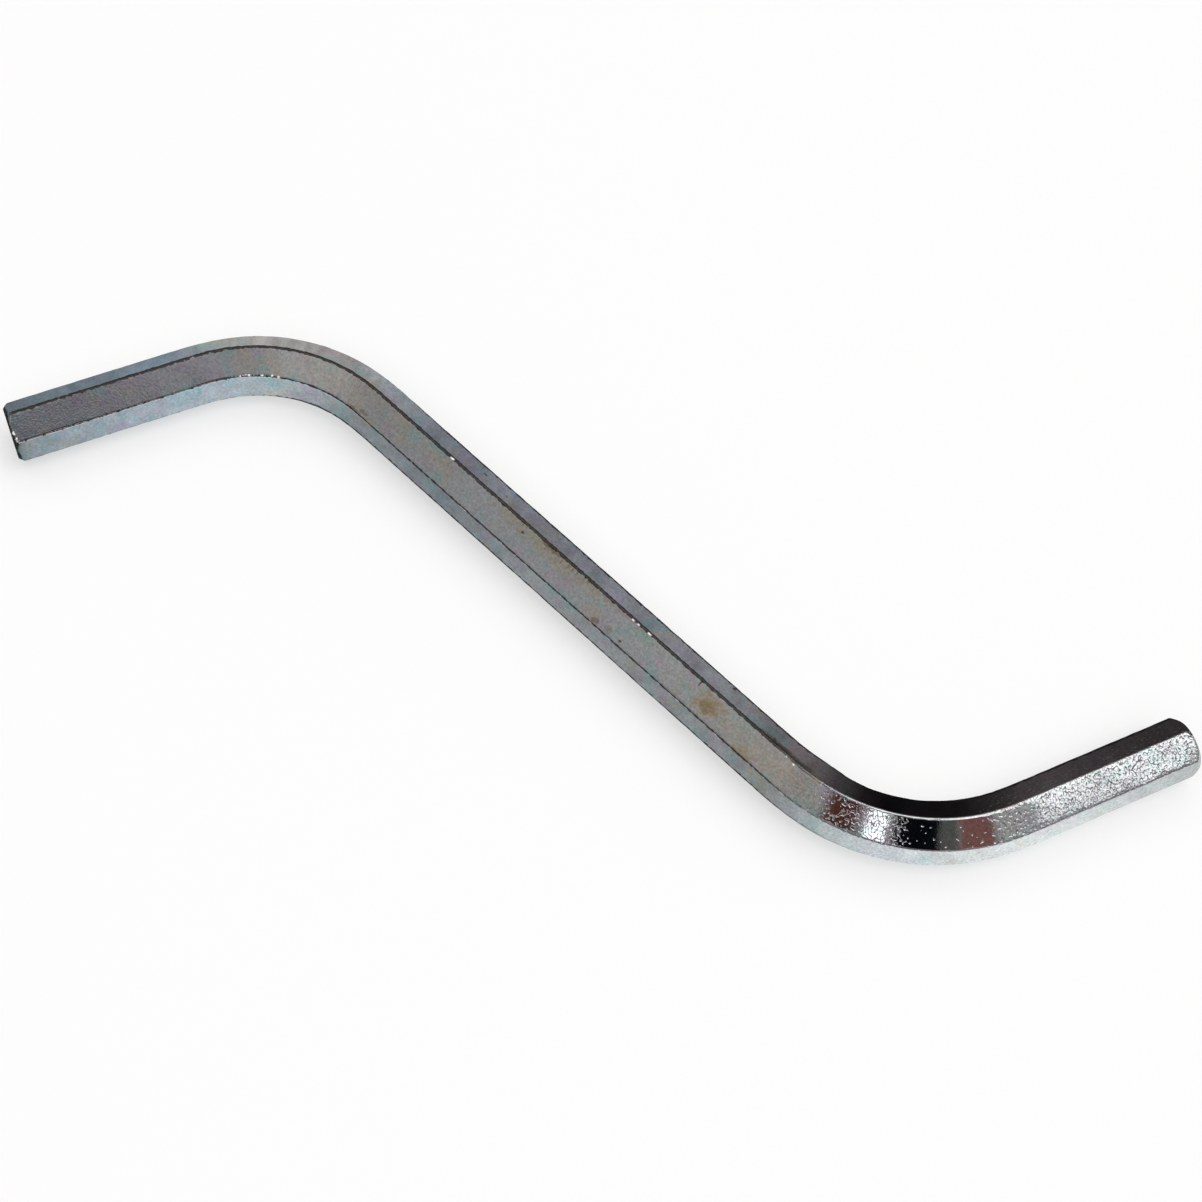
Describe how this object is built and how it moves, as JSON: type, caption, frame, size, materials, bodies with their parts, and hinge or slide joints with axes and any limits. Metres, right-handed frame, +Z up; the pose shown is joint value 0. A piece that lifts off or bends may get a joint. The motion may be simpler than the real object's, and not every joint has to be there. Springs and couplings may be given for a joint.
{
  "type": "garbage disposal wrench",
  "caption": "Double-ended crank wrench: a zinc-plated hexagon bar bent into a flat Z, with chamfered tips that fit the hexagon socket under a garbage disposal.",
  "frame": {"origin": "bottom centre of the wrench's box, on the bench it lies on", "axes": "+Z up, square to the plane of the two bends; +X along the shaft from the left bend to the right bend; the left leg leaves towards -Y and the right leg towards +Y"},
  "size_m": [0.1308, 0.0698, 0.0071],
  "materials": {
    "zinc_plating": "bright zinc plating with a clear blue-grey passivate, satin, slightly mottled"
  },
  "bodies": {
    "root": {"bent_hex_bar": "zinc_plating"}
  },
  "joints": []
}
